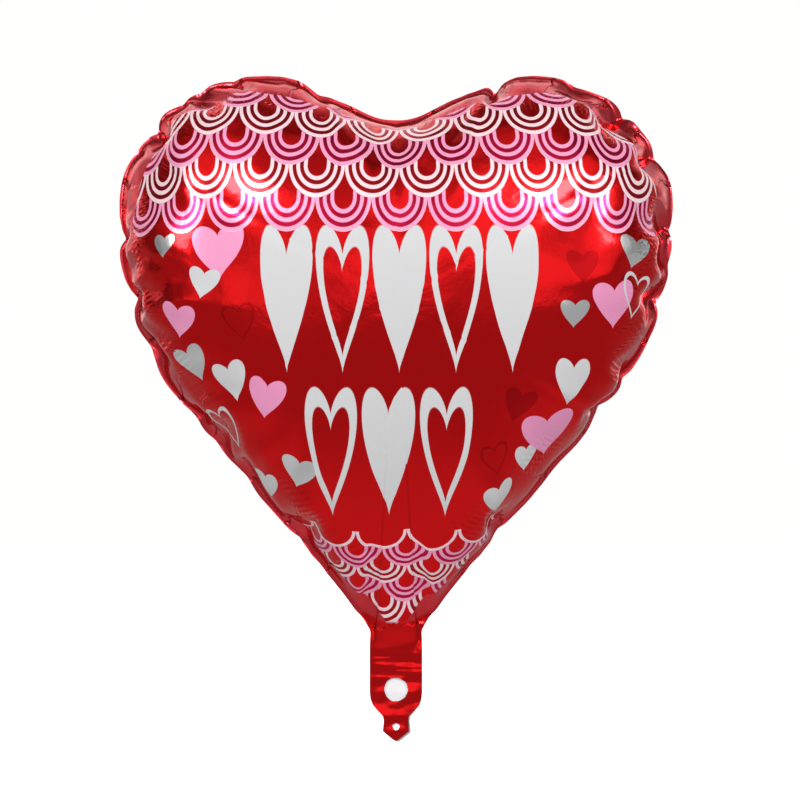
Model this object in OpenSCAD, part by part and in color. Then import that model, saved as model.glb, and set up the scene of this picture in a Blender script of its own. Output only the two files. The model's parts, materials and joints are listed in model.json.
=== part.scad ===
// Heart-shaped foil balloon, filled.
// Two sheets of metallised film are sealed together round the rim. A flat tail hangs from the neck.
// Inside the neck lies a self-closing valve made of two clear plastic strips.
// Millimetres. Z points up, X to the right seen from the front, the printed front faces -Y.
// The origin is the centre of the tie hole in the tip of the tail.

/* [Heart] */
// Width of the filled heart across both lobes
heart_width = 373; // [300:1:450]
// Height of the filled heart from the neck to the top of the lobes
heart_height = 370.5; // [305:0.5:450]
// Thickness of the filled heart from front to back at its fattest
heart_depth = 156; // [120:1:210]
// Radius of each lobe as a share of the heart's width
lobe_share = 0.262; // [0.25:0.001:0.28]
// Radius of the hollow between the lobes
cleft_radius = 50; // [20:1:60]
// Radius of each flank as a share of the distance from the neck to the middle of the lobes
flank_share = 0.71; // [0.55:0.01:0.8]
// Height of the fattest point above the neck as a share of the heart's height
fattest_share = 0.57; // [0.45:0.01:0.65]

/* [Film] */
// Thickness of each sheet of metallised film, thicker than life so that it is a solid
film_thickness = 0.5; // [0.4:0.1:1]
// Width of the flat heat seal all round the heart
seal_width = 3; // [2:0.5:5]
// How steeply the dome leaves the seal, where 0.5 is upright
dome_edge = 0.5; // [0.45:0.01:0.8]
// How flat the middle of the dome is
dome_flatness = 2.8; // [2:0.1:4]
// How much the dome narrows into the neck, as a share of its height
neck_narrowing = 0.5; // [0.3:0.05:0.6]

/* [Puckers] */
// Number of puckers along each side of the rim, from the cleft to the neck
puckers_per_side = 12; // [8:1:13]
// How far each pucker draws the rim in
pucker_depth = 2.2; // [0:0.1:4]
// How deep each pucker creases the dome beside the rim, as a share of the dome's height
pucker_crease = 0.2; // [0:0.01:0.3]
// How quickly each crease dies away from the rim, where a higher number is quicker
pucker_fade = 10; // [4:1:14]

/* [Tail] */
// Width of the flat tail, which is also the width of the neck
tail_width = 35; // [28:0.5:45]
// Distance from the tie hole up to the line where the tail folds
fold_height = 63.4; // [52:0.1:80]
// Width of the narrow tip about the tie hole
tip_width = 17.6; // [14:0.1:22]
// Distance from the tie hole up to where the tip begins to widen
tip_rise = 7; // [5:0.1:9]
// Distance from the tie hole down to where the tip begins to close to a point
tip_side_drop = 3; // [2:0.1:5]
// Distance from the tie hole down to the point of the tip
point_drop = 10.4; // [8:0.1:14]
// Diameter of the tie hole through both sheets
tie_hole_diameter = 4.8; // [3:0.1:6]
// Width of the seal along each edge of the tail
tail_seal = 4; // [3:0.1:5]

/* [Inflation hole] */
// Diameter of the inflation hole in the front sheet
inflation_hole_diameter = 16; // [10:0.1:18]
// Distance from the tie hole up to the centre of the inflation hole
inflation_hole_height = 24.9; // [24:0.1:32]

/* [Valve] */
// Thickness of each clear valve strip, thicker than life so that it is a solid
valve_thickness = 0.3; // [0.2:0.1:0.5]
// Space left between the two valve strips
valve_gap = 0.3; // [0.2:0.05:0.5]
// Side gap between the valve strips and the seals of the tail
valve_side_gap = 0.6; // [0.3:0.1:1.5]
// Width of valve strip left below the inflation hole
valve_foot = 3; // [2:0.1:4]
// Length of the valve's tongue up inside the heart
tongue_length = 110; // [60:1:140]

/* [Clearances] */
// Gap between the tail and the line where it folds
tail_fold_gap = 0.5; // [0.4:0.1:1]
// Gap between the heart's neck and the line where the tail folds
neck_fold_gap = 1.5; // [1.3:0.1:2.5]
// Gap between the swinging valve tongue and the back sheet at the neck
flap_clearance = 0.3; // [0.3:0.05:0.6]

/* [Detail] */
// Points along each pucker
points_per_pucker = 6; // [4:1:6]
// Rings from the middle of each dome to its seal
dome_rings = 9; // [6:1:10]
// Facets round each hole
hole_facets = 64; // [32:8:96]

/* [Hidden] */

red = [0.80, 0.07, 0.09];
dark_red = [0.62, 0.04, 0.07];
silver = [0.80, 0.80, 0.82];
clear_white = [0.90, 0.92, 0.95];

front = -1;
back = 1;
neck_height = fold_height + neck_fold_gap;
tail_top = fold_height - tail_fold_gap;
half_neck = tail_width / 2;
half_channel = half_neck - tail_seal;
half_valve = half_channel - valve_side_gap;
valve_inner = valve_gap / 2;
valve_outer = valve_inner + valve_thickness;
front_neck_room = valve_outer;
back_neck_room = valve_outer + flap_clearance;
valve_bottom = inflation_hole_height - inflation_hole_diameter / 2 - valve_foot;
cut = 1;
shoulder_drop = 1;

// The outline: a hollow arc, a lobe arc, a flank arc that carries on from it,
// and a straight run to the neck.
lobe_radius = heart_width * lobe_share;
lobe_x = heart_width / 2 - lobe_radius;
lobe_z = neck_height + heart_height - lobe_radius;
cleft_turn = acos(lobe_x / (lobe_radius + cleft_radius));
cleft_z = lobe_z + (lobe_radius + cleft_radius) * sin(cleft_turn);
flank_radius = (lobe_z - neck_height) * flank_share;
flank_x = heart_width / 2 - flank_radius;
corner_dx = half_neck - flank_x;
corner_dz = neck_height - lobe_z;
corner_distance = norm([corner_dx, corner_dz]);
flank_end_angle = atan2(corner_dz, corner_dx) + acos(flank_radius / corner_distance);
flank_end = [flank_x, lobe_z] + flank_radius * [cos(flank_end_angle), sin(flank_end_angle)];
cleft_length = cleft_radius * (90 - cleft_turn) * PI / 180;
lobe_length = lobe_radius * (180 - cleft_turn) * PI / 180;
flank_length = flank_radius * -flank_end_angle * PI / 180;
straight_length = norm([half_neck, neck_height] - flank_end);
lobe_end = cleft_length + lobe_length;
flank_finish = lobe_end + flank_length;
side_length = flank_finish + straight_length;

// The middle of the heart, where both domes are fattest.
middle_z = neck_height + heart_height * fattest_share;
side_points = puckers_per_side * points_per_pucker;
neck_points = [1, 0.5, 0, -0.5, -1];

// A point of the right-hand rim at a distance along it from the cleft.
function side_point(s) =
  s < cleft_length ? cleft_point(-90 + turn(s, cleft_radius)) :
  s < lobe_end ? lobe_point(turn(lobe_end - s, lobe_radius)) :
  s < flank_finish ? flank_point(turn(lobe_end - s, flank_radius)) :
  flank_end + ([half_neck, neck_height] - flank_end) * (s - flank_finish) / straight_length;
function turn(s, radius) = s / radius * 180 / PI;
function cleft_point(a) = [cleft_radius * cos(a), cleft_z + cleft_radius * sin(a)];
function lobe_point(a) = [lobe_x + lobe_radius * cos(a), lobe_z + lobe_radius * sin(a)];
function flank_point(a) = [flank_x + flank_radius * cos(a), lobe_z + flank_radius * sin(a)];

// How strongly the rim is puckered at each point of a side; both ends of the side are smooth.
function pucker(i) =
  i < points_per_pucker / 2 || i > side_points - points_per_pucker / 2 ? 0 :
  pow(abs(cos(180 * i / points_per_pucker)), 4);

// Every rim point as x, z, pucker strength and whether it lies over the valve channel.
rim = concat(
  [for (i = [0 : side_points]) [side_point(side_length * i / side_points).x,
    side_point(side_length * i / side_points).y, pucker(i), 0]],
  [for (n = neck_points) [n * half_channel, neck_height, 0, 1]],
  [for (i = [side_points : -1 : 1]) [-side_point(side_length * i / side_points).x,
    side_point(side_length * i / side_points).y, pucker(i), 0]]
);
rim_count = len(rim);

// Direction and length of the line from the middle of the heart to a rim point.
function reach(p) = norm([p[0], p[1] - middle_z]) - pucker_depth * p[2];
function heading(p) = [p[0], p[1] - middle_z] / norm([p[0], p[1] - middle_z]);

// Height of the dome as a share of its full height, where u runs from 0 in the middle to 1 at the seal.
function dome(u, p) =
  pow(max(0, 1 - pow(u, dome_flatness)), dome_edge)
  * (1 - neck_narrowing * pow(max(0, -heading(p).y), 6) * pow(u, 3))
  * (1 - pucker_crease * p[2] * pow(u, pucker_fade));

// A point of a panel at a radius along one heading and a height out of the seal plane.
function panel_point(p, radius, height, side) =
  [heading(p).x * radius, side * height, middle_z + heading(p).y * radius];

// One ring of points of a panel for each station of its section, outside first and inside last.
function outer_ring(u, side, room) = [for (p = rim)
  panel_point(p, u * (reach(p) - seal_width),
    film_thickness + max((heart_depth / 2 - film_thickness) * dome(u, p), room * p[3]), side)];
function inner_ring(u, side, room) = [for (p = rim)
  panel_point(p, u * (reach(p) - seal_width - film_thickness),
    max((heart_depth / 2 - film_thickness) * dome(u, p), room * p[3]), side)];
function edge_ring(height, side, room) = [for (p = rim)
  panel_point(p, reach(p), height + room * p[3], side)];

// Rings are closer together towards the seal, where the dome is steep.
function station(j) = sin(90 * j / dome_rings);

module panel(side, room) {
  rings = concat(
    [for (j = [1 : dome_rings]) outer_ring(station(j), side, room)],
    [edge_ring(film_thickness, side, room)],
    [edge_ring(0, side, room)],
    [for (j = [dome_rings : -1 : 1]) inner_ring(station(j), side, room)]
  );
  last = len(rings) - 1;
  points = concat(
    [[0, side * heart_depth / 2, middle_z]],
    [for (ring = rings) for (point = ring) point],
    [[0, side * (heart_depth / 2 - film_thickness), middle_z]]
  );
  first_pole = 0;
  last_pole = len(points) - 1;
  faces = concat(
    [for (i = [0 : rim_count - 1]) [first_pole, at(0, i + 1), at(0, i)]],
    [for (k = [0 : last - 1]) for (i = [0 : rim_count - 1]) [at(k, i), at(k, i + 1), at(k + 1, i + 1)]],
    [for (k = [0 : last - 1]) for (i = [0 : rim_count - 1]) [at(k, i), at(k + 1, i + 1), at(k + 1, i)]],
    [for (i = [0 : rim_count - 1]) [last_pole, at(last, i), at(last, i + 1)]]
  );
  polyhedron(points, side == front ? [for (f = faces) [f[2], f[1], f[0]]] : faces, convexity = 6);
}

// Place of rim point i of ring k in the list of points of a panel.
function at(k, i) = 1 + k * rim_count + i % rim_count;

// Stands a flat outline drawn in X and Z upright, from one Y to another.
module upright(from_y, to_y) {
  translate([0, to_y, 0])
    rotate([90, 0, 0])
      linear_extrude(to_y - from_y)
        children();
}

module tail_outline() {
  shoulder = inflation_hole_height - inflation_hole_diameter / 2 - shoulder_drop;
  translate([-tail_width / 2, shoulder])
    square([tail_width, tail_top - shoulder]);
  polygon([
    [-tail_width / 2, shoulder],
    [-tip_width / 2, tip_rise],
    [-tip_width / 2, -tip_side_drop],
    [0, -point_drop],
    [tip_width / 2, -tip_side_drop],
    [tip_width / 2, tip_rise],
    [tail_width / 2, shoulder]
  ]);
}

// The room for the valve between the seals of the tail, open at the top.
module channel_outline() {
  translate([-half_channel, valve_bottom - valve_side_gap])
    square([2 * half_channel, tail_top - valve_bottom + valve_side_gap + cut]);
}

module tie_hole() {
  rotate([90, 0, 0])
    cylinder(d = tie_hole_diameter, h = 2 * (valve_outer + film_thickness + cut),
      center = true, $fn = hole_facets);
}

module inflation_hole() {
  translate([0, 0, inflation_hole_height])
    rotate([90, 0, 0])
      cylinder(d = inflation_hole_diameter, h = valve_outer + film_thickness + cut,
      $fn = hole_facets);
}

module valve_strip(bottom, top, from_y, to_y) {
  translate([-half_valve, from_y, bottom])
    cube([2 * half_valve, to_y - from_y, top - bottom]);
}

// The front sheet's heart, printed on its outside.
module front_panel() {
  color(red)
    panel(front, front_neck_room);
}

// The back sheet's heart.
module back_panel() {
  color(dark_red)
    panel(back, back_neck_room);
}

// The front sheet's tail, with the inflation hole and the tie hole.
module front_tail() {
  color(red)
    difference() {
      upright(-valve_outer - film_thickness, 0)
        tail_outline();
      upright(-valve_outer, cut)
        channel_outline();
      inflation_hole();
      tie_hole();
    }
}

// The back sheet's tail, with the tie hole only.
module back_tail() {
  color(dark_red)
    difference() {
      upright(0, valve_outer + film_thickness)
        tail_outline();
      upright(-cut, valve_outer)
        channel_outline();
      tie_hole();
    }
}

// The part of the front valve strip inside the heart.
module front_valve_tongue() {
  color(clear_white)
    valve_strip(neck_height, neck_height + tongue_length, -valve_outer, -valve_inner);
}

// The part of the back valve strip inside the heart, which swings away from the front one.
module back_valve_tongue() {
  color(clear_white)
    valve_strip(neck_height, neck_height + tongue_length, valve_inner, valve_outer);
}

// The part of the front valve strip in the tail, open at the inflation hole.
module front_valve_inlet() {
  color(silver)
    difference() {
      valve_strip(valve_bottom, tail_top, -valve_outer, -valve_inner);
      inflation_hole();
    }
}

// The part of the back valve strip in the tail.
module back_valve_inlet() {
  color(silver)
    valve_strip(valve_bottom, tail_top, valve_inner, valve_outer);
}

front_panel();
back_panel();
front_tail();
back_tail();
front_valve_tongue();
back_valve_tongue();
front_valve_inlet();
back_valve_inlet();
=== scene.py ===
"""Heart-shaped foil balloon: two metallised films blown up as cloth, a flat tail and a film valve."""
import json
import math

import bpy
import numpy as np
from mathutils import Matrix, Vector, noise
from mathutils.geometry import delaunay_2d_cdt
from mathutils.kdtree import KDTree


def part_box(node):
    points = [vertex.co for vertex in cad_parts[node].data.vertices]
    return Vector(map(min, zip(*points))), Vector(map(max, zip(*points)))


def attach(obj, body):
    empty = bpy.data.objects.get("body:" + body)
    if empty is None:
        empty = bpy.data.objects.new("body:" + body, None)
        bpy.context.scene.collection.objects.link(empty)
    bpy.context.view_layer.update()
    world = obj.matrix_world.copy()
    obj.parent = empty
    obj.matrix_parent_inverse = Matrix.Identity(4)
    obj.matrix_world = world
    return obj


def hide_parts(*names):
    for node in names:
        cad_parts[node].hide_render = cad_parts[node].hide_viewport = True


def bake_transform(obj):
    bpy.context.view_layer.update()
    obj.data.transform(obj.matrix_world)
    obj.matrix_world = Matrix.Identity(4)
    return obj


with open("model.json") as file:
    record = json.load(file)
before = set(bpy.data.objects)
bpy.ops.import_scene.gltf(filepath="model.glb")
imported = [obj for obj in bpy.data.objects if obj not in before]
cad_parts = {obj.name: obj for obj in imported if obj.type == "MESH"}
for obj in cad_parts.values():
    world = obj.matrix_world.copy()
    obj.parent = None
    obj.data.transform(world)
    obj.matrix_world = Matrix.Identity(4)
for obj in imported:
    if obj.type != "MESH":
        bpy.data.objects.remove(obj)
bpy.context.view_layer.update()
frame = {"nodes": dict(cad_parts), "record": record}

# ---------------------------------------------------------------------------------------------
# Sizes, in metres. Places come from the CAD frame, and the cut film is larger than the filled heart.
# ---------------------------------------------------------------------------------------------
MM = 0.001
heart_low, heart_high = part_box("front_panel")
tail_low, tail_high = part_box("front_tail")
inlet_low, inlet_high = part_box("back_valve_inlet")
tongue_low, tongue_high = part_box("back_valve_tongue")
mounts = {m["name"]: m for m in frame["record"]["mounts"]}

NECK_Z = heart_low.z
HALF_TAIL = tail_high.x
HALF_VALVE = inlet_high.x
SEAL_WIDTH = 0.003              # the heat seal round the heart
HALF_NECK = HALF_TAIL - SEAL_WIDTH
INFLATION_Z = mounts["inflation_hole"]["pos_m"][2]
INFLATION_R = mounts["inflation_hole"]["dims"]["r_mm"] * MM
TIE_R = mounts["tie_hole"]["dims"]["r_mm"] * MM

FLAT_WIDTH = 0.430              # the cut heart, across
FLAT_HEIGHT = 0.405             # the cut heart, above the neck
FLAT_LOBE_SHARE = 0.288         # a lobe's radius, as a share of the width
FLAT_CLEFT_RADIUS = 0.200       # the hollow between the lobes
FLAT_FLANK_SHARE = 0.90         # a flank's radius, as a share of the lobes' height over the neck
NECK_RUN = 0.012                # the straight neck, down to where the tail begins
FATTEST_SHARE = 0.57            # how far up the heart its middle is
OUTLINE_STEP = 0.0005           # the spacing of the points that trace the cut

FULL_RINGS = 64
RINGS = FULL_RINGS


# ---------------------------------------------------------------------------------------------
# The cut film: its outline, and a web of triangles in rings
# ---------------------------------------------------------------------------------------------
def arc(centre_x, centre_z, radius, start, end):
    """Points along an arc, its end left out."""
    count = max(2, int(abs(end - start) * radius / OUTLINE_STEP))
    angles = np.linspace(start, end, count, endpoint=False)
    return np.c_[centre_x + radius * np.cos(angles), centre_z + radius * np.sin(angles)]


def straight(start, end):
    """Points along a straight run, its end included."""
    start, end = np.array(start), np.array(end)
    count = max(2, int(np.hypot(*(end - start)) / OUTLINE_STEP))
    return start + (end - start) * np.linspace(0, 1, count)[:, None]


def side_outline():
    """The right-hand edge of the cut film: hollow, lobe, flank, straight run and a short neck."""
    lobe_r = FLAT_WIDTH * FLAT_LOBE_SHARE
    lobe_x = FLAT_WIDTH / 2 - lobe_r
    lobe_z = NECK_Z + FLAT_HEIGHT - lobe_r
    turn = math.acos(lobe_x / (lobe_r + FLAT_CLEFT_RADIUS))
    hollow_z = lobe_z + (lobe_r + FLAT_CLEFT_RADIUS) * math.sin(turn)
    flank_r = (lobe_z - NECK_Z) * FLAT_FLANK_SHARE
    flank_x = FLAT_WIDTH / 2 - flank_r
    corner = (HALF_NECK, NECK_Z)
    dx, dz = corner[0] - flank_x, corner[1] - lobe_z
    end = math.atan2(dz, dx) + math.acos(flank_r / math.hypot(dx, dz))
    flank_end = (flank_x + flank_r * math.cos(end), lobe_z + flank_r * math.sin(end))
    return np.vstack([
        arc(0, hollow_z, FLAT_CLEFT_RADIUS, -math.pi / 2, -turn),
        arc(lobe_x, lobe_z, lobe_r, math.pi - turn, 0),
        arc(flank_x, lobe_z, flank_r, 0, end),
        straight(flank_end, corner)[:-1],
        straight(corner, (HALF_NECK, NECK_Z - NECK_RUN)),
    ])


def run_length(points):
    """Distance along a line of points, at each point."""
    return np.r_[0, np.cumsum(np.hypot(*np.diff(points, axis=0).T))]


def rim_points(count):
    """The closed rim as count points, its bottom corners kept, and how far each is from the hollow."""
    side = side_outline()
    along = run_length(side)
    total = 2 * along[-1] + 2 * HALF_NECK
    corner = int(round(along[-1] / total * count))
    s = np.interp(np.arange(count), [0, corner, count - corner, count],
                  [0, along[-1], along[-1] + 2 * HALF_NECK, total])
    mirrored = total - s
    right, left = s <= along[-1], mirrored <= along[-1]
    reach = np.where(right, s, mirrored)
    x = np.interp(reach, along, side[:, 0]) * np.where(right, 1, -1)
    z = np.interp(reach, along, side[:, 1])
    bottom = ~right & ~left
    x[bottom] = HALF_NECK - (s[bottom] - along[-1])
    z[bottom] = NECK_Z - NECK_RUN
    return np.c_[x, z], np.minimum(reach, along[-1])


def ring_web(rim, middle, rings):
    """Points in rings from the middle to the rim, and the triangles between them, seen from the front."""
    points, first = [middle[None, :]], [0, 1]
    for k in range(1, rings + 1):
        t = np.arange(6 * k) / k * rings
        i = np.floor(t).astype(int)
        f = (t - i)[:, None]
        edge = rim[i % len(rim)] * (1 - f) + rim[(i + 1) % len(rim)] * f
        points.append(middle + (edge - middle) * k / rings)
        first.append(first[-1] + 6 * k)
    triangles = []
    for k in range(1, rings + 1):
        inner, outer, held = first[k - 1], first[k], max(6 * (k - 1), 1)
        for side in range(6):
            for j in range(k):
                a = outer + side * k + j
                b = outer + (side * k + j + 1) % (6 * k)
                c = inner + (side * (k - 1) + j) % held
                triangles.append((c, b, a))
                if j < k - 1:
                    d = inner + (side * (k - 1) + j + 1) % held
                    triangles.append((c, d, b))
    ring = np.repeat(np.arange(rings + 1), [1] + [6 * k for k in range(1, rings + 1)]) / rings
    turn = np.concatenate([[0.0]] + [np.arange(6 * k) / (6 * k) for k in range(1, rings + 1)])
    return np.vstack(points), np.array(triangles), ring, turn


class Envelope:
    """Both films as one web of points: the front film, the back film behind it, and the sealed edge."""

    def __init__(self):
        self.rim_flat, self.rim_along = rim_points(6 * RINGS)
        middle = np.array([0, NECK_Z + FLAT_HEIGHT * FATTEST_SHARE])
        web, triangles, ring, turn = ring_web(self.rim_flat, middle, RINGS)
        count, rim_count = len(web), 6 * RINGS
        self.rim = np.arange(count - rim_count, count)
        inner = np.arange(count - rim_count)
        behind = np.concatenate([inner + count, self.rim])
        edge_step = np.roll(self.rim_flat, -1, 0) - np.roll(self.rim_flat, 1, 0)
        outward = np.c_[edge_step[:, 1], -edge_step[:, 0]]
        outward *= np.sign((outward * (self.rim_flat - middle)).sum(1))[:, None]
        self.open_edge = self.rim_flat[:, 1] < NECK_Z - NECK_RUN + 1e-5
        sideways = np.where(self.rim_flat[:, 0] < 0, -1.0, 1.0)
        outward[self.open_edge] = np.c_[sideways, 0 * sideways][self.open_edge]
        outward /= np.linalg.norm(outward, axis=1)[:, None]
        sealed = self.rim_flat + outward * SEAL_WIDTH
        self.outer = np.arange(rim_count) + count + len(inner)
        after = np.roll(np.arange(rim_count), -1)
        keep = ~(self.open_edge & self.open_edge[after])
        strip = np.vstack([
            np.c_[self.rim, self.rim[after], self.outer[after]][keep],
            np.c_[self.rim, self.outer[after], self.outer][keep],
        ])
        self.flat = np.vstack([web, web[inner], sealed])
        self.ring = np.concatenate([ring, ring[inner], np.full(rim_count, 1.0)])
        self.turn = np.concatenate([turn, turn[inner], np.arange(rim_count) / rim_count])
        self.side = np.concatenate([np.full(count, -1), np.full(len(inner), 1), np.zeros(rim_count)])
        self.side[self.rim] = 0
        self.front = triangles
        self.back = behind[triangles][:, ::-1]
        self.strip = strip
        self.triangles = np.vstack([self.front, self.back, self.strip])

    def laid_flat(self):
        return np.c_[self.flat[:, 0], np.zeros(len(self.flat)), self.flat[:, 1]]


# ---------------------------------------------------------------------------------------------
# Filling: Blender's cloth with pressure inside, in stages, with the rim kept in its plane
# ---------------------------------------------------------------------------------------------
STAGES = 5
FRAMES_PER_STAGE = 7
CLOTH_SCALE = 10                # the cloth is filled at ten times its size
SOLVER_STEPS = 6
PRESSURE = 1.5
MASS = 0.12 * (FULL_RINGS / RINGS) ** 2
STRETCH_STIFFNESS, SHEAR_STIFFNESS, BEND_STIFFNESS = 60, 30, 0.5
STRETCH_DAMPING, BEND_DAMPING, AIR_DAMPING = 5, 0.5, 1
SEED = 7
START_BULGE = 0.006             # how far each film starts from the middle plane
START_ROUGHNESS = 0.0002
PUCKER_COUNT = 25
PUCKER_SEED_HEIGHT = 0.002
PUCKER_START = 0.75             # how far out from the middle the seeded puckers begin
DRIFT_WAVES = 6                 # slower waves of the rim than this are taken out between stages


def slow_part(values, keep):
    """The slow waves of values that go once round the rim."""
    waves = np.fft.rfft(values)
    waves *= np.exp(-(np.arange(len(waves)) / keep) ** 2)
    return np.fft.irfft(waves, len(values))


def cloth_stage(envelope, start):
    """The web's points after one stage of filling."""
    mesh = bpy.data.meshes.new("filling")
    mesh.from_pydata((start * CLOTH_SCALE).tolist(), [], envelope.triangles.tolist())
    work = bpy.data.objects.new("filling", mesh)
    scene = bpy.context.scene
    scene.collection.objects.link(work)
    work.shape_key_add(name="start")
    flat = work.shape_key_add(name="flat")
    flat.data.foreach_set("co", (envelope.laid_flat() * CLOTH_SCALE).ravel())
    flat.value = 0
    held = work.vertex_groups.new(name="held")
    held.add(envelope.rim[envelope.open_edge].tolist(), 1.0, "REPLACE")
    held.add(envelope.outer[envelope.open_edge].tolist(), 1.0, "REPLACE")
    gas = work.vertex_groups.new(name="gas")
    gas.add(list(range(len(start) - len(envelope.outer))), 1.0, "REPLACE")
    cloth = work.modifiers.new("cloth", "CLOTH")
    cloth.collision_settings.use_collision = False
    cloth.point_cache.frame_start = 1
    cloth.point_cache.frame_end = FRAMES_PER_STAGE + 1
    film = cloth.settings
    film.quality = SOLVER_STEPS
    film.mass = MASS
    film.tension_stiffness = film.compression_stiffness = STRETCH_STIFFNESS
    film.shear_stiffness = SHEAR_STIFFNESS
    film.bending_stiffness = BEND_STIFFNESS
    film.tension_damping = film.compression_damping = film.shear_damping = STRETCH_DAMPING
    film.bending_damping = BEND_DAMPING
    film.air_damping = AIR_DAMPING
    film.effector_weights.gravity = 0
    film.vertex_group_mass = "held"
    film.rest_shape_key = flat
    film.use_pressure = True
    film.uniform_pressure_force = PRESSURE
    film.vertex_group_pressure = "gas"
    for number in range(1, FRAMES_PER_STAGE + 1):
        scene.frame_set(number)
    filled = work.evaluated_get(bpy.context.evaluated_depsgraph_get())
    end = np.empty(len(start) * 3)
    filled.data.vertices.foreach_get("co", end)
    bpy.data.objects.remove(work)
    bpy.data.meshes.remove(mesh)
    return end.reshape(-1, 3) / CLOTH_SCALE


def fill(envelope):
    """Blows the flat films up into the heart."""
    rng = np.random.default_rng(SEED)
    points = envelope.laid_flat()
    count = len(points)
    bulge = START_BULGE * (1 - envelope.ring ** 2) + rng.normal(0, START_ROUGHNESS, count)
    points[:, 1] = envelope.side * bulge
    near_rim = np.clip((envelope.ring - PUCKER_START) / (1 - PUCKER_START), 0, 1)
    points[:, 1] += PUCKER_SEED_HEIGHT * near_rim * np.sin(2 * np.pi * PUCKER_COUNT * envelope.turn)
    for stage in range(STAGES):
        points = cloth_stage(envelope, points)
        if stage < STAGES - 1:
            drift = slow_part(points[envelope.rim, 1], DRIFT_WAVES)
            places = np.arange(len(drift) + 1)
            around = np.interp(envelope.turn * len(drift), places, np.r_[drift, drift[:1]])
            points[:, 1] -= around * envelope.ring
    bpy.context.scene.frame_set(1)
    return points


PUCKER_KEPT = 0.45              # the share of the puckers' depth that the outline keeps
OUTLINE_WAVES = 14
OUTLINE_TURNS = 240
TURN_WIDTH = 0.03               # how far to each side of a direction its edge is looked for
NECK_EASE = 0.02                # the height over the neck where the easing fades out
RELAX_TIMES = 5


def edge_radius(points, middle, turns):
    """The furthest any point is from the middle, in each direction of turns."""
    away = points - middle
    radius, turn = np.hypot(*away.T), np.arctan2(away[:, 1], away[:, 0])
    found = np.empty(len(turns))
    for i, t in enumerate(turns):
        off = np.abs((turn - t + np.pi) % (2 * np.pi) - np.pi)
        found[i] = radius[off < TURN_WIDTH].max()
    return found


def trim_outline(envelope, points):
    """Eases the filled heart in or out until its outline is the CAD heart's, with shallower puckers."""
    middle = np.array([0, NECK_Z + (heart_high.z - NECK_Z) * FATTEST_SHARE])
    turns = np.linspace(-np.pi, np.pi, OUTLINE_TURNS, endpoint=False)
    cad = np.array([v.co for v in frame["nodes"]["front_panel"].data.vertices])[:, [0, 2]]
    wanted = edge_radius(cad, middle, turns)
    rim = points[envelope.outer][:, [0, 2]]
    rough = edge_radius(rim, middle, turns)
    even = slow_part(rough, OUTLINE_WAVES)
    now = even * PUCKER_KEPT + rough * (1 - PUCKER_KEPT)
    ease = slow_part(wanted, OUTLINE_WAVES * 2) / now - 1
    away = points[:, [0, 2]] - middle
    turn = np.arctan2(away[:, 1], away[:, 0])
    change = np.interp(turn, np.r_[turns, np.pi], np.r_[ease, ease[0]])
    change *= np.clip(envelope.ring, 0, 1) ** 2 * np.clip((points[:, 2] - NECK_Z) / NECK_EASE, 0, 1)
    points = points.copy()
    points[:, [0, 2]] += away * change[:, None]
    return points


def relax(envelope, points):
    """Averages each point's shift from the flat film with its neighbours', to take out fine crumples."""
    faces = envelope.triangles
    pairs = np.vstack([faces[:, [0, 1]], faces[:, [1, 2]], faces[:, [2, 0]]])
    pairs = np.unique(np.sort(pairs, 1), axis=0)
    pairs = np.vstack([pairs, pairs[:, ::-1]])
    count = np.bincount(pairs[:, 0], minlength=len(points))
    free = count > 0
    free[envelope.rim[envelope.open_edge]] = False
    free[envelope.outer[envelope.open_edge]] = False
    shift = points - envelope.laid_flat()
    for _ in range(RELAX_TIMES):
        total = [np.bincount(pairs[:, 0], shift[pairs[:, 1], axis], len(points)) for axis in range(3)]
        shift[free] = (shift[free] + np.stack(total, 1)[free] / count[free][:, None]) / 2
    return envelope.laid_flat() + shift


envelope = Envelope()
filled = fill(envelope)
filled = trim_outline(envelope, relax(envelope, filled))


# ---------------------------------------------------------------------------------------------
# The tail: flat sheets with their holes, joined to the open edge of the heart
# ---------------------------------------------------------------------------------------------
TAIL_TOP = NECK_Z - NECK_RUN
TIP_POINT_Z = tail_low.z
TIP_CORNER_Z = -0.003
SHOULDER_Z = INFLATION_Z - 0.002
# Half the tail's width at each height, from the point of the tip up past its waist and the shoulder
TAIL_EDGE = np.array([
    (0, TIP_POINT_Z), (0.0088, TIP_CORNER_Z), (0.0081, 0.0035), (0.0086, 0.007), (0.0120, 0.0105),
    (0.0155, 0.0145), (0.0170, 0.0185), (HALF_TAIL, SHOULDER_Z), (HALF_TAIL, TAIL_TOP),
])
TAIL_MESH = 0.002
ROW_SHARE = 0.87                # the height of a row of even triangles over the length of their sides
EDGE_ROOM = TAIL_MESH * 0.6     # how near to an edge the tail's inner points come
HOLE_POINTS = 48
HOLE_WOBBLE = 0.0002
HOLE_SLACK = 0.98               # a triangle is in a hole when its middle is within this share of it
SKIN = 0.00015                  # from a foil's red face to its silver one
SEAL_GAP = 0.00006              # from the middle plane to the silver face, at the sealed edges
FILM_GAP = 0.00044              # and how much further it is between them, where the valve lies
SEAL_FADE = 0.004
ROOM_FADE = (0.062, 0.085)      # the heights over which these gaps give way to the filled heart's own
CRINKLE_FADE = 0.044            # the height where the tail's waves start to die away, up to its top


def hole_ring(z, radius):
    """A slightly uneven ring of points round a hole."""
    turn = np.linspace(0, 2 * np.pi, HOLE_POINTS, endpoint=False)
    uneven = radius + HOLE_WOBBLE * np.sin(3 * turn + 1) + HOLE_WOBBLE * np.sin(5 * turn)
    return np.c_[uneven * np.cos(turn), z + uneven * np.sin(turn)]


def half_width(z):
    """Half the tail's width at each height."""
    return np.interp(z, TAIL_EDGE[:, 1], TAIL_EDGE[:, 0])


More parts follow.
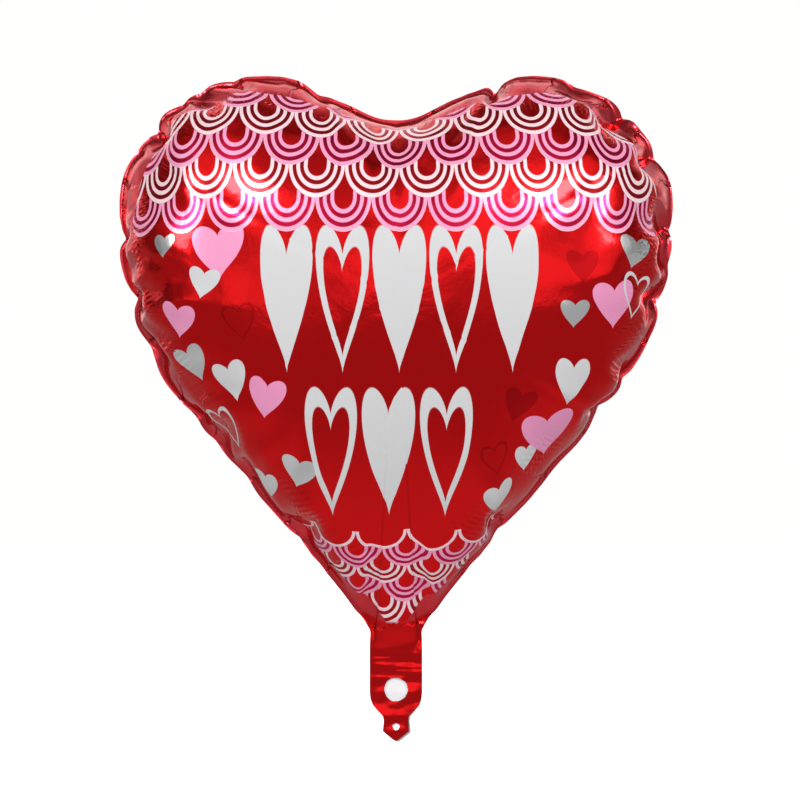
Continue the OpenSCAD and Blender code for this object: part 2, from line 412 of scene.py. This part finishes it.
def in_hole(points, holes, share, extra):
    """Whether each point lies in one of the holes, each made larger or smaller."""
    inside = np.zeros(len(points), bool)
    for hole_z, radius in holes:
        inside |= np.hypot(points[:, 0], points[:, 1] - hole_z) <= radius * share + extra
    return inside


def triangulate(points, loops):
    """Flat points as a mesh keeps them, and the triangles between them, every loop's edges among those."""
    edges = [(loop[i], loop[(i + 1) % len(loop)]) for loop in loops for i in range(len(loop))]
    co, _, faces, sources, _, _ = delaunay_2d_cdt([Vector(p) for p in points], edges, [], 0, 1e-7)
    order = [source[0] for source in sources]
    placed = np.empty((len(points), 2))
    placed[order] = np.array(co)
    return placed, np.array([[order[i] for i in face] for face in faces])


def facing_front(points, faces):
    """The faces, each turned to run anticlockwise."""
    a, b, c = points[faces[:, 0]], points[faces[:, 1]], points[faces[:, 2]]
    turned = (b[:, 0] - a[:, 0]) * (c[:, 1] - a[:, 1]) - (b[:, 1] - a[:, 1]) * (c[:, 0] - a[:, 0])
    faces[turned < 0] = faces[turned < 0][:, ::-1]
    return faces


def tail_outline(top_x):
    """The closed edge of the tail, clockwise from the left end of its top."""
    top = np.c_[top_x, np.full(len(top_x), TAIL_TOP)]
    lengths = run_length(TAIL_EDGE)
    steps = np.linspace(0, lengths[-1], int(lengths[-1] / TAIL_MESH))
    steps = np.unique(np.r_[steps, lengths].round(6))
    side = np.c_[np.interp(steps, lengths, TAIL_EDGE[:, 0]), np.interp(steps, lengths, TAIL_EDGE[:, 1])]
    return np.vstack([top, side[::-1][1:], side[1:-1] * [-1, 1]])


def tail_sheet(top_x, holes):
    """Points and triangles of a flat tail; the points at top_x, on its top edge, come first."""
    outline = tail_outline(top_x)
    z = np.arange(TIP_POINT_Z, TAIL_TOP, TAIL_MESH * ROW_SHARE)
    x = np.arange(-HALF_TAIL, HALF_TAIL, TAIL_MESH)
    grid = np.array([(gx + TAIL_MESH / 2 * (row % 2), gz) for row, gz in enumerate(z) for gx in x])
    room = half_width(grid[:, 1]) - EDGE_ROOM
    inside = (np.abs(grid[:, 0]) < room) & (grid[:, 1] < TAIL_TOP - EDGE_ROOM)
    grid = grid[inside & ~in_hole(grid, holes, 1, EDGE_ROOM)]
    rings = [hole_ring(hole_z, radius) for hole_z, radius in holes]
    loops, total = [], 0
    for loop in [outline] + rings:
        loops.append(list(range(total, total + len(loop))))
        total += len(loop)
    points, faces = triangulate(np.vstack([outline] + rings + [grid]), loops)
    middle = points[faces].mean(1)
    kept = np.abs(middle[:, 0]) < half_width(middle[:, 1])
    return points, facing_front(points, faces[kept & ~in_hole(middle, holes, HOLE_SLACK, 0)])


def smooth(value, start, end):
    """0 before start, 1 after end, and smooth between."""
    t = np.clip((value - start) / (end - start), 0, 1)
    return t * t * (3 - 2 * t)


def film_room(x, z):
    """How far a film stands from the middle plane in the tail and the neck."""
    across = smooth(HALF_TAIL - np.abs(x), 0, SEAL_FADE)
    return (SEAL_GAP + SKIN + FILM_GAP * across) * (1 - smooth(z, *ROOM_FADE))


# The tail's waves: height, noise cells for each metre across and up, and the noise's third coordinate
FINE_WAVES = (0.0008, 70, 150, 3.1)
BROAD_WAVES = (0.0012, 25, 45, 8.4)
PLEAT_HEIGHT = 0.00022          # the level pleats over the inflation hole
PLEAT_PITCH = 0.0042
PLEAT_SLANT = 60
PLEAT_FADE = (0.026, 0.034)


def crinkle(x, z):
    """The small waves that all the films of the tail share."""
    waves = np.array([
        sum(height * noise.noise((px * across, pz * up, third))
            for height, across, up, third in (FINE_WAVES, BROAD_WAVES))
        for px, pz in zip(x, z)
    ])
    pleats = PLEAT_HEIGHT * np.sin(z * 2 * np.pi / PLEAT_PITCH + PLEAT_SLANT * x)
    return (waves + pleats * smooth(z, *PLEAT_FADE)) * (1 - smooth(z, CRINKLE_FADE, TAIL_TOP))


# ---------------------------------------------------------------------------------------------
# The two films as pieces
# ---------------------------------------------------------------------------------------------
def edge_distances(flat, rim_flat, rim_along, open_edge):
    """How far each flat point is from the seam, and where along the seam that is."""
    seam, along = rim_flat[~open_edge], rim_along[~open_edge]
    tree = KDTree(len(seam))
    for i, (x, z) in enumerate(seam):
        tree.insert((x, 0, z), i)
    tree.balance()
    found = [tree.find((x, 0, z)) for x, z in flat]
    return np.array([f[2] for f in found]), np.array([along[f[1]] for f in found])


def make_mesh_object(name, points, faces, material_index=None):
    """A smooth-shaded mesh object, in the scene."""
    mesh = bpy.data.meshes.new(name)
    mesh.from_pydata(np.asarray(points).tolist(), [], np.asarray(faces).tolist())
    if material_index is not None:
        mesh.polygons.foreach_set("material_index", material_index)
    mesh.shade_smooth()
    obj = bpy.data.objects.new(name, mesh)
    bpy.context.scene.collection.objects.link(obj)
    return obj


def store(mesh, name, kind, values):
    """Keeps a value for each point of a mesh, for its material to read."""
    attribute = mesh.attributes.new(name, kind, "POINT")
    key = "vector" if kind == "FLOAT_VECTOR" else "value"
    attribute.data.foreach_set(key, np.asarray(values, np.float32).ravel())


def subdivide(obj):
    """Applies one level of subdivision."""
    modifier = obj.modifiers.new("subdivide", "SUBSURF")
    modifier.levels = modifier.render_levels = 1
    depsgraph = bpy.context.evaluated_depsgraph_get()
    finer = bpy.data.meshes.new_from_object(obj.evaluated_get(depsgraph), preserve_all_data_layers=True,
                                            depsgraph=depsgraph)
    obj.modifiers.remove(modifier)
    old = obj.data
    obj.data = finer
    bpy.data.meshes.remove(old)
    finer.name = obj.name


def tail_top():
    """The envelope's points that the tail's top edge shares, from left to right."""
    edge = np.where(envelope.open_edge)[0]
    top = np.r_[envelope.rim[edge], envelope.outer[edge[[0, -1]]]]
    return top[np.argsort(envelope.flat[top, 0])]


def make_film(name, side, triangles, holes, tip_shift):
    """One film: its half of the filled heart, the sealed strip round that, and its tail in two skins."""
    strip = envelope.strip if side < 0 else envelope.strip[:, ::-1]
    faces = np.vstack([triangles, strip])
    used = np.unique(faces)
    renumber = np.full(len(filled), -1)
    renumber[used] = np.arange(len(used))
    body = filled[used].copy()
    body[:, 1] += side * film_room(body[:, 0], body[:, 2])

    top = tail_top()
    tail, tail_faces = tail_sheet(envelope.flat[top, 0], holes)
    shifted = tail + np.outer(1 - smooth(tail[:, 1], TIP_CORNER_Z, SHOULDER_Z), tip_shift)
    room = film_room(shifted[:, 0], shifted[:, 1])
    waves = crinkle(tail[:, 0], tail[:, 1])
    outside = np.c_[shifted[:, 0], side * room + waves, shifted[:, 1]]
    inside = np.c_[shifted[:, 0], side * (room - SKIN) + waves, shifted[:, 1]]
    own = len(tail) - len(top)
    outer_index = np.r_[renumber[top], len(body) + np.arange(own)]
    inner_index = len(body) + own + np.arange(len(tail))
    outer_faces = outer_index[tail_faces]
    inner_faces = inner_index[tail_faces][:, ::-1]
    if side > 0:
        outer_faces, inner_faces = outer_faces[:, ::-1], inner_faces[:, ::-1]

    points = np.vstack([body, outside[len(top):], inside])
    points[renumber[top]] = outside[:len(top)]
    all_faces = np.vstack([renumber[faces], outer_faces, inner_faces])
    bare = np.zeros(len(all_faces), int)
    bare[-len(inner_faces):] = 1
    flats = np.vstack([envelope.flat[used], tail[len(top):], tail])
    distance, along = edge_distances(flats, envelope.rim_flat, envelope.rim_along, envelope.open_edge)
    obj = make_mesh_object(name, points, all_faces, bare)
    store(obj.data, "print_mm", "FLOAT_VECTOR", np.c_[flats[:, 0], distance, flats[:, 1]] / MM)
    store(obj.data, "along_mm", "FLOAT", along / MM)
    subdivide(obj)
    return obj


INFLATION_HOLE = (INFLATION_Z, INFLATION_R)     # height and radius
TIE_HOLE = (0.0, TIE_R)
BACK_TIP_SHIFT = (0.0012, -0.0008)      # the back film's tip shows a little beside the front one's
front_film = make_film("front_film", -1, envelope.front, [INFLATION_HOLE, TIE_HOLE], (0, 0))
back_film = make_film("back_film", 1, envelope.back, [TIE_HOLE], BACK_TIP_SHIFT)


# ---------------------------------------------------------------------------------------------
# The valve: two narrow strips of plain film between the foils
# ---------------------------------------------------------------------------------------------
VALVE_MESH = 0.002


def make_valve_strip(name, bottom, top, y, holes=()):
    """A flat strip of valve film, with its holes."""
    columns = np.linspace(-HALF_VALVE, HALF_VALVE, int(2 * HALF_VALVE / VALVE_MESH))
    rows = np.linspace(bottom, top, int((top - bottom) / VALVE_MESH))
    grid = np.array([(x, z) for z in rows for x in columns])
    grid = grid[~in_hole(grid, holes, 1, VALVE_MESH / 2)]
    loops = [list(range(len(grid) + i * HOLE_POINTS, len(grid) + (i + 1) * HOLE_POINTS))
             for i in range(len(holes))]
    rings = [hole_ring(hole_z, radius) for hole_z, radius in holes]
    points, faces = triangulate(np.vstack([grid] + rings), loops)
    faces = faces[~in_hole(points[faces].mean(1), holes, HOLE_SLACK, 0)]
    waves = crinkle(points[:, 0], points[:, 1])
    return make_mesh_object(name, np.c_[points[:, 0], y + waves, points[:, 1]], faces)


valve_back_y = (inlet_low.y + inlet_high.y) / 2
valve_front_film = make_valve_strip("valve_front_film", inlet_low.z, tongue_high.z, -valve_back_y,
                                    [INFLATION_HOLE])
valve_back_inlet = make_valve_strip("valve_back_inlet", inlet_low.z, inlet_high.z, valve_back_y)
valve_back_tongue = make_valve_strip("valve_back_tongue", tongue_low.z, tongue_high.z, valve_back_y)


# ---------------------------------------------------------------------------------------------
# Shader arithmetic: formulas over sockets
# ---------------------------------------------------------------------------------------------
class Number:
    """The value of a shader socket; arithmetic on it adds math nodes to its tree."""

    def __init__(self, tree, socket):
        self.tree, self.socket = tree, socket

    def op(self, operation, *others, clamp=False):
        node = self.tree.nodes.new("ShaderNodeMath")
        node.operation = operation
        node.use_clamp = clamp
        for slot, value in zip(node.inputs, (self,) + others):
            if isinstance(value, Number):
                self.tree.links.new(value.socket, slot)
            else:
                slot.default_value = value
        return Number(self.tree, node.outputs[0])

    def __add__(self, other):
        return self.op("ADD", other)

    def __sub__(self, other):
        return self.op("SUBTRACT", other)

    def __mul__(self, other):
        return self.op("MULTIPLY", other)

    def __truediv__(self, other):
        return self.op("DIVIDE", other)

    def below(self, limit, blur):
        """1 where the value is less than limit, 0 where it is more, blended over blur."""
        return (self * -1 + limit).op("MULTIPLY_ADD", 1 / blur, 0.5, clamp=True)

    def above(self, limit, blur):
        return self.below(limit, blur) * -1 + 1

    def mix(self, other, share):
        """self where share is 0, other where it is 1."""
        if isinstance(other, Number):
            return self + (other - self) * share
        return self + (self * -1 + other) * share


def mix_colour(tree, base, other, share):
    """A colour socket: base where share is 0, other where it is 1."""
    node = tree.nodes.new("ShaderNodeMix")
    node.data_type = "RGBA"
    tree.links.new(share.socket, node.inputs["Factor"])
    for slot, value in ((node.inputs[6], base), (node.inputs[7], other)):
        if isinstance(value, bpy.types.NodeSocket):
            tree.links.new(value, slot)
        else:
            slot.default_value = (*value, 1)
    return node.outputs[2]


def noise_value(tree, vector, scale, detail=2.0):
    """Soft noise about 0.5, with scale cells for each unit of the vector."""
    node = tree.nodes.new("ShaderNodeTexNoise")
    node.inputs["Scale"].default_value = scale
    node.inputs["Detail"].default_value = detail
    node.inputs["Roughness"].default_value = 0.5
    tree.links.new(vector, node.inputs["Vector"])
    return Number(tree, node.outputs["Fac"])


class Finish:
    """Colour, metal and roughness as they build up, one layer of ink over another."""

    def __init__(self, tree, colour, metal, roughness):
        self.tree, self.colour = tree, colour
        value = tree.nodes.new("ShaderNodeValue")
        value.outputs[0].default_value = 1
        one = Number(tree, value.outputs[0])
        self.metal, self.roughness = one * metal, one * roughness

    def lay(self, ink, share):
        """Prints an ink where share is 1."""
        colour, metal, roughness = ink
        self.colour = mix_colour(self.tree, self.colour, colour, share)
        self.metal = self.metal.mix(metal, share)
        self.roughness = self.roughness.mix(roughness, share)


# Inks, bare films and a painted rim reflection: colour, metal, roughness
RED_FOIL = ((0.80, 0.011, 0.013), 1.0, 0.12)
# a paler, pinker red for the border by the seam: a painted reflection of the pale room at the rim, not a
# different foil
PAINTED_RIM_REFLECTION = ((0.76, 0.045, 0.060), 1.0, 0.15)
SHADE_FOIL = ((0.40, 0.006, 0.010), 1.0, 0.16)
CRIMSON = ((0.56, 0.006, 0.050), 0.9, 0.16)
DARK_RED = ((0.46, 0.008, 0.012), 0.9, 0.16)
PINK_INK = ((0.88, 0.34, 0.54), 0.15, 0.25)
PALE_INK = ((0.90, 0.66, 0.71), 0.15, 0.25)
HEART_PINK = ((0.84, 0.31, 0.53), 0.15, 0.25)
WHITE_INK = ((0.60, 0.60, 0.61), 0.0, 0.25)
SILVER = ((0.84, 0.84, 0.85), 1.0, 0.16)
CLEAR_FILM = ((0.84, 0.83, 0.85), 0.0, 0.30)

# Fish-scale bands, in millimetres of flat film: pitch, depth and step of the rows, first centre
TOP_BAND = dict(pitch=36.0, depth=22.0, step=22.0, x=2.0, z=360.0)
TIP_BAND = dict(pitch=34.0, depth=15.0, step=14.0, x=-10.0, z=140.0)
# A scale's strokes, as shares of its radius: their width, spacing, the outermost, and the plain middle
STROKE = 0.13
STROKE_PERIOD = 0.265
FIRST_STROKE = 0.935
TEARDROP = 0.33
SCALE_BLUR = 0.02

# How far inside the seam the print ends: at the heart's tip, in the lobes, and the heights between
TIP_INSET = 10.0
PRINT_INSET = 26.0
TIP_INSET_Z = 150.0
FULL_INSET_Z = 240.0
PRINT_BOTTOM = (71, 1.5)        # the height of the neck where the print ends, and its blur
INK_BLUR = 0.4

# Hearts: centre x and z, width, height, tilt in degrees; in millimetres of flat film
PINK_HEARTS = [(-115, 325, 36, 36, 5), (-145, 280, 26, 24, -10), (-85, 230, 26, 28, -10),
               (145, 290, 34, 32, 5), (105, 200, 38, 38, 10)]
WHITE_HEARTS = [(-125, 305, 22, 20, -10), (-110, 240, 26, 28, 15), (-95, 160, 22, 24, 0),
                (115, 240, 26, 32, -5), (70, 160, 24, 26, 10)]
WHITE_BEHIND = [(90, 185, 20, 20, 0)]
WHITE_OUTLINES = [(-125, 200, 30, 36, 20), (165, 295, 30, 32, -10)]
SILVER_HEARTS = [(-155, 330, 16, 16, 0), (-140, 250, 28, 26, 20), (-65, 180, 26, 22, -10),
                 (160, 325, 26, 22, -10), (115, 285, 20, 18, 0)]
SHADE_HEARTS = [(80, 225, 22, 24, -15), (120, 315, 22, 22, 0)]
SHADE_OUTLINES = [(-100, 280, 22, 24, 10), (65, 190, 20, 22, 10)]
TALL_HEARTS = [(-70, 295, 34, 94, 0), (2, 295, 34, 94, 0), (74, 295, 34, 94, 0),
               (-5, 195, 34, 88, 0)]
TALL_OUTLINES = [(-34, 295, 34, 94, 0), (38, 295, 34, 94, 0), (-42, 195, 34, 88, 0),
                 (32, 195, 34, 88, 0)]
HEART_LIFT = 0.255              # the formula's shift and stretch, so that a heart fills its own height
HEART_STRETCH = 1.255
HEART_STROKE = 2.4
SHADE_STROKE = 1.6
TALL_FROM = 60                  # hearts taller than this have a stroke twice as wide
SHADE_STRENGTH = 0.6


def heart_field(x, z, heart):
    """Less than 0 inside the heart, 0 on its edge and more outside; about 1 for each half width."""
    centre_x, centre_z, width, height, tilt = heart
    turn = math.radians(tilt)
    dx, dz = x - centre_x, z - centre_z
    u = dx.op("MULTIPLY", 2 * math.cos(turn) / width) + dz * (2 * math.sin(turn) / width)
    tall = 2 * HEART_STRETCH / height
    v = dz.op("MULTIPLY_ADD", tall * math.cos(turn), HEART_LIFT) - dx * (tall * math.sin(turn))
    v = v - u.op("ABSOLUTE").op("POWER", 2 / 3)
    return (u * u + v * v).op("SQRT") - 1


def hearts_share(x, z, filled_hearts, outlined_hearts=(), stroke=HEART_STROKE):
    """1 where any of the hearts is printed."""
    share = None
    for heart in list(filled_hearts) + list(outlined_hearts):
        half = heart[2] / 2
        field = heart_field(x, z, heart)
        if heart in outlined_hearts:
            line = stroke * (2 if heart[3] > TALL_FROM else 1) / 2 / half
            field = (field + line).op("ABSOLUTE") - line
        one = field.below(0, INK_BLUR / half)
        share = one if share is None else share.op("MAXIMUM", one)
    return share


def scales(x, z, band, top_row=None):
    """The row of a band that a point is in, and its distance from its scale's centre, 1 at the edge."""
    row = ((z + (band["depth"] - band["z"])) / band["step"]).op("FLOOR")
    if top_row is not None:
        row = row.op("MINIMUM", top_row)
    found = []
    for number in (row, row - 1):
        shift = number.op("FLOORED_MODULO", 2) * 0.5
        across = (x - band["x"]) / band["pitch"] - shift
        across = (across - across.op("ROUND")) * 2
        down = (z - band["z"] - number * band["step"]).op("MINIMUM", 0) / band["depth"]
        found.append((across * across + down * down).op("SQRT"))
    inside = found[0].below(1, SCALE_BLUR)
    return row - 1 + inside, found[1].mix(found[0], inside)


def strokes(distance):
    """The three strokes round a scale."""
    nearest = (distance - FIRST_STROKE) / STROKE_PERIOD
    off = (nearest - nearest.op("ROUND")).op("ABSOLUTE") * STROKE_PERIOD
    return off.below(STROKE / 2, SCALE_BLUR) * distance.above(TEARDROP, SCALE_BLUR)


def print_film(tree, finish, x, z, edge):
    """Lays the print over the red foil: two bands of fish scales, and hearts between them. The border by
    the seam, outside the bands, gets a paler, pinker red, which is a painted reflection.
    """
    rise = ((z - TIP_INSET_Z) / (FULL_INSET_Z - TIP_INSET_Z)).op("ADD", 0, clamp=True)
    inset = rise * (PRINT_INSET - TIP_INSET) + TIP_INSET
    above_neck = z.above(*PRINT_BOTTOM)
    field = (edge - inset).above(0, 1.0) * above_neck
    rim_reflection_share = (field * -1 + 1) * above_neck
    # the border by the seam, outside the fish-scale bands, is painted a paler, pinker red as a painted
    # reflection
    finish.lay(PAINTED_RIM_REFLECTION, rim_reflection_share)

    shade = hearts_share(x, z, SHADE_HEARTS, SHADE_OUTLINES, SHADE_STROKE)
    finish.lay(SHADE_FOIL, shade * SHADE_STRENGTH)
    finish.lay(SILVER, hearts_share(x, z, SILVER_HEARTS))
    finish.lay(WHITE_INK, hearts_share(x, z, WHITE_BEHIND))
    finish.lay(HEART_PINK, hearts_share(x, z, PINK_HEARTS))
    finish.lay(WHITE_INK, hearts_share(x, z, WHITE_HEARTS + TALL_HEARTS, WHITE_OUTLINES + TALL_OUTLINES))

    for band, top_row, pink_first in ((TOP_BAND, None, 1), (TIP_BAND, 0, 0)):
        row, distance = scales(x, z, band, top_row)
        if top_row is None:
            here = row.above(-0.5, 0.1) * field
        else:
            below_top = z.below(band["z"], INK_BLUR) * field
            here = below_top * row.below(-0.5, 0.1)
            top_edge = distance.above(1 - STROKE, SCALE_BLUR) * distance.below(1, SCALE_BLUR)
            finish.lay(PALE_INK, top_edge * below_top * row.above(-0.5, 0.1))
        odd = row.op("FLOORED_MODULO", 2)
        pink = odd * -1 + 1 if pink_first else odd
        pale = pink * -1 + 1
        lines = strokes(distance) * here
        gaps = distance.above(TEARDROP, SCALE_BLUR) * here
        finish.lay(CRIMSON, gaps * pink)
        finish.lay(DARK_RED, gaps * pale)
        finish.lay(PINK_INK, lines * pink)
        finish.lay(PALE_INK, lines * pale)


def new_material(name):
    """A material, its node tree and its shader."""
    material = bpy.data.materials.new(name)
    material.use_nodes = True
    tree = material.node_tree
    return material, tree, tree.nodes["Principled BSDF"]


def read_attribute(tree, name):
    node = tree.nodes.new("ShaderNodeAttribute")
    node.attribute_name = name
    return node


def finish_surface(tree, shader, finish, height, depth):
    """Joins a finish and a bump height to the shader."""
    bump = tree.nodes.new("ShaderNodeBump")
    bump.inputs["Strength"].default_value = 1.0
    bump.inputs["Distance"].default_value = depth
    tree.links.new(height.socket, bump.inputs["Height"])
    tree.links.new(bump.outputs["Normal"], shader.inputs["Normal"])
    tree.links.new(finish.colour, shader.inputs["Base Color"])
    tree.links.new(finish.metal.socket, shader.inputs["Metallic"])
    tree.links.new(finish.roughness.socket, shader.inputs["Roughness"])


def start_finish(tree, ink):
    """The finish of a bare film, before any ink."""
    colour = tree.nodes.new("ShaderNodeRGB")
    colour.outputs[0].default_value = (*ink[0], 1)
    return Finish(tree, colour.outputs[0], ink[1], ink[2])


def wear(tree, finish, place, scale, spread):
    """Lets the roughness vary from place to place by a share of itself."""
    worn = noise_value(tree, place, scale, 3.0)
    finish.roughness = finish.roughness * (worn * spread + (1 - spread / 2))


# The foil's bumps, in millimetres: fine ribs in patches beside the seam, creases across it, and a crumple
RIB_PITCH = 4.6
RIB_HEIGHT = 0.16
RIBS_FROM, RIBS_TO = (26, 10), (50, 16)     # distance from the seam, and its blur
RIB_PATCHES = (0.5, 0.1)
CREASE_PITCH = 44.0
CREASE_WIDTH = 1.8
CREASE_DEPTH = 1.0
CREASE_WANDER = 0.8
CREASES_TO = (16, 26)
PATCH_SCALE = 0.02
WEAR_SCALE, WEAR_SPREAD = 0.03, 0.5
CRUMPLE_SCALE, CRUMPLE_HEIGHT = 0.055, 0.30
GRAIN_SCALE, GRAIN_HEIGHT = 1.2, 0.012


def red_foil_material(name, printed):
    """Red foil, printed or plain: fine ribs and creases near the seam, and a faint crumple."""
    material, tree, shader = new_material(name)
    place = read_attribute(tree, "print_mm").outputs["Vector"]
    parts = tree.nodes.new("ShaderNodeSeparateXYZ")
    tree.links.new(place, parts.inputs[0])
    x, edge, z = (Number(tree, output) for output in parts.outputs)
    along = Number(tree, read_attribute(tree, "along_mm").outputs["Fac"])
    finish = start_finish(tree, RED_FOIL)
    if printed:
        print_film(tree, finish, x, z, edge)
    wear(tree, finish, place, WEAR_SCALE, WEAR_SPREAD)
    patches = noise_value(tree, place, PATCH_SCALE, 1.0)
    ribs = (along * (2 * math.pi / RIB_PITCH)).op("SINE") * edge.above(*RIBS_FROM) * edge.below(*RIBS_TO)
    ribs = ribs * patches.above(*RIB_PATCHES) * RIB_HEIGHT
    station = along / CREASE_PITCH + patches * CREASE_WANDER
    off = (station - station.op("ROUND")).op("ABSOLUTE") * CREASE_PITCH
    creases = off.below(CREASE_WIDTH / 2, CREASE_WIDTH) * edge.below(*CREASES_TO) * -CREASE_DEPTH
    crumple = noise_value(tree, place, CRUMPLE_SCALE, 3.0) * CRUMPLE_HEIGHT
    grain = noise_value(tree, place, GRAIN_SCALE) * GRAIN_HEIGHT
    finish_surface(tree, shader, finish, ribs + creases + crumple + grain, MM)
    return material


# The plain films' wear and crumple, in cells for each metre
PLAIN_WEAR_SCALE, PLAIN_WEAR_SPREAD = 60.0, 0.6
PLAIN_CRUMPLE_SCALE = 180.0
BARE_FOIL_CRUMPLE = 0.2
CLEAR_FILM_CRUMPLE = 0.15


def plain_material(name, ink, crumple):
    """A plain film with a faint crumple."""
    material, tree, shader = new_material(name)
    place = tree.nodes.new("ShaderNodeTexCoord").outputs["Object"]
    finish = start_finish(tree, ink)
    wear(tree, finish, place, PLAIN_WEAR_SCALE, PLAIN_WEAR_SPREAD)
    height = noise_value(tree, place, PLAIN_CRUMPLE_SCALE, 3.0) * crumple
    finish_surface(tree, shader, finish, height, MM)
    return material


printed_foil = red_foil_material("printed_red_foil", True)
plain_foil = red_foil_material("plain_red_foil", False)
bare_foil = plain_material("bare_foil", SILVER, BARE_FOIL_CRUMPLE)
clear_film = plain_material("clear_film", CLEAR_FILM, CLEAR_FILM_CRUMPLE)
for film, foil in ((front_film, printed_foil), (back_film, plain_foil)):
    film.data.materials.append(foil)
    film.data.materials.append(bare_foil)
for strip in (valve_front_film, valve_back_inlet, valve_back_tongue):
    strip.data.materials.append(clear_film)


# ---------------------------------------------------------------------------------------------
# What the valve's back strips ride on; the CAD parts are hidden
# ---------------------------------------------------------------------------------------------
for piece in (front_film, back_film, valve_front_film):
    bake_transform(piece)
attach(valve_back_tongue, "valve_flap")
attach(valve_back_inlet, "tail")
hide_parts("front_panel", "front_tail")
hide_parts("back_panel", "back_tail")
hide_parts("front_valve_tongue", "front_valve_inlet")
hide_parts("back_valve_tongue")
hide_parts("back_valve_inlet")


# ---------------------------------------------------------------------------------------------
# Room, light and camera
# ---------------------------------------------------------------------------------------------
FLOOR_Z = -1.20
FLOOR_HALF = 20
FLOOR_SHADE = 0.72
STAGE_WHITE = (1, 1, 0.995, 1)
TARGET = Vector((0.0027, 0, 0.2183))
CAMERA_AWAY = 1.5
LENS, SENSOR = 101, 36
ROOM_SIDES, ROOM_FRONT = 0.28, 1.12     # the room's brightness at its sides, and before and behind
FRONT_EDGE = (0.42, 0.5)
PATCH_SHADE = 0.45                      # the share of its brightness that a dark patch keeps
ROOM_PATCH_SCALE, ROOM_PATCH_EDGE = 3.2, (0.49, 0.16)
SOFTBOX_SIZE = 0.32
# The softboxes of each side: name, distance to the side, forwards and up, and power in watts
SOFTBOXES = [("high", 0.67, 1.3, 1.1, 7), ("low", 1.3, 0.9, 0.8, 5)]


def make_floor():
    """White to look at, and a mid grey in the foil's reflections."""
    corners = [(x * FLOOR_HALF, y * FLOOR_HALF, FLOOR_Z) for x, y in ((-1, -1), (1, -1), (1, 1), (-1, 1))]
    floor = make_mesh_object("floor", corners, [(0, 1, 2, 3)])
    material, tree, shader = new_material("pale_floor")
    shader.inputs["Base Color"].default_value = (FLOOR_SHADE, FLOOR_SHADE, FLOOR_SHADE, 1)
    shader.inputs["Roughness"].default_value = 0.9
    shader.inputs["Emission Color"].default_value = STAGE_WHITE
    tree.links.new(seen_by_camera(tree).socket, shader.inputs["Emission Strength"])
    floor.data.materials.append(material)
    return floor


def softbox(name, place, power):
    """A round softbox, aimed at the heart."""
    lamp = bpy.data.lights.new(name, "AREA")
    lamp.shape = "DISK"
    lamp.size = SOFTBOX_SIZE
    lamp.energy = power
    obj = bpy.data.objects.new(name, lamp)
    obj.location = place
    obj.rotation_euler = (TARGET - Vector(place)).to_track_quat("-Z", "Y").to_euler()
    bpy.context.scene.collection.objects.link(obj)


def seen_by_camera(tree):
    return Number(tree, tree.nodes.new("ShaderNodeLightPath").outputs["Is Camera Ray"])


def make_world():
    """White to look at; as light and in the foil's reflections, a pale room with darker sides."""
    world = bpy.data.worlds.new("room")
    bpy.context.scene.world = world
    world.use_nodes = True
    tree = world.node_tree
    direction = tree.nodes.new("ShaderNodeTexCoord").outputs["Generated"]
    parts = tree.nodes.new("ShaderNodeSeparateXYZ")
    tree.links.new(direction, parts.inputs[0])
    depth = Number(tree, parts.outputs["Y"])
    facing = depth.op("ABSOLUTE").above(*FRONT_EDGE)
    patches = noise_value(tree, direction, ROOM_PATCH_SCALE).above(*ROOM_PATCH_EDGE)
    room = (facing * (ROOM_FRONT - ROOM_SIDES) + ROOM_SIDES) * (patches * (1 - PATCH_SHADE) + PATCH_SHADE)
    strength = room.mix(1.0, seen_by_camera(tree))
    tree.links.new(strength.socket, tree.nodes["Background"].inputs["Strength"])
    tree.nodes["Background"].inputs["Color"].default_value = STAGE_WHITE


def make_camera():
    data = bpy.data.cameras.new("camera")
    data.lens = LENS
    data.sensor_width = SENSOR
    camera = bpy.data.objects.new("camera", data)
    camera.location = TARGET + Vector((0, -CAMERA_AWAY, 0))
    camera.rotation_euler = (math.pi / 2, 0, 0)
    bpy.context.scene.collection.objects.link(camera)
    bpy.context.scene.camera = camera


make_floor()
make_world()
for side, hand in ((-1, "left"), (1, "right")):
    for level, aside, forwards, up, power in SOFTBOXES:
        softbox(f"{hand}_{level}_softbox", (side * aside, -forwards, up), power)
make_camera()
bpy.context.scene.view_settings.view_transform = "Standard"
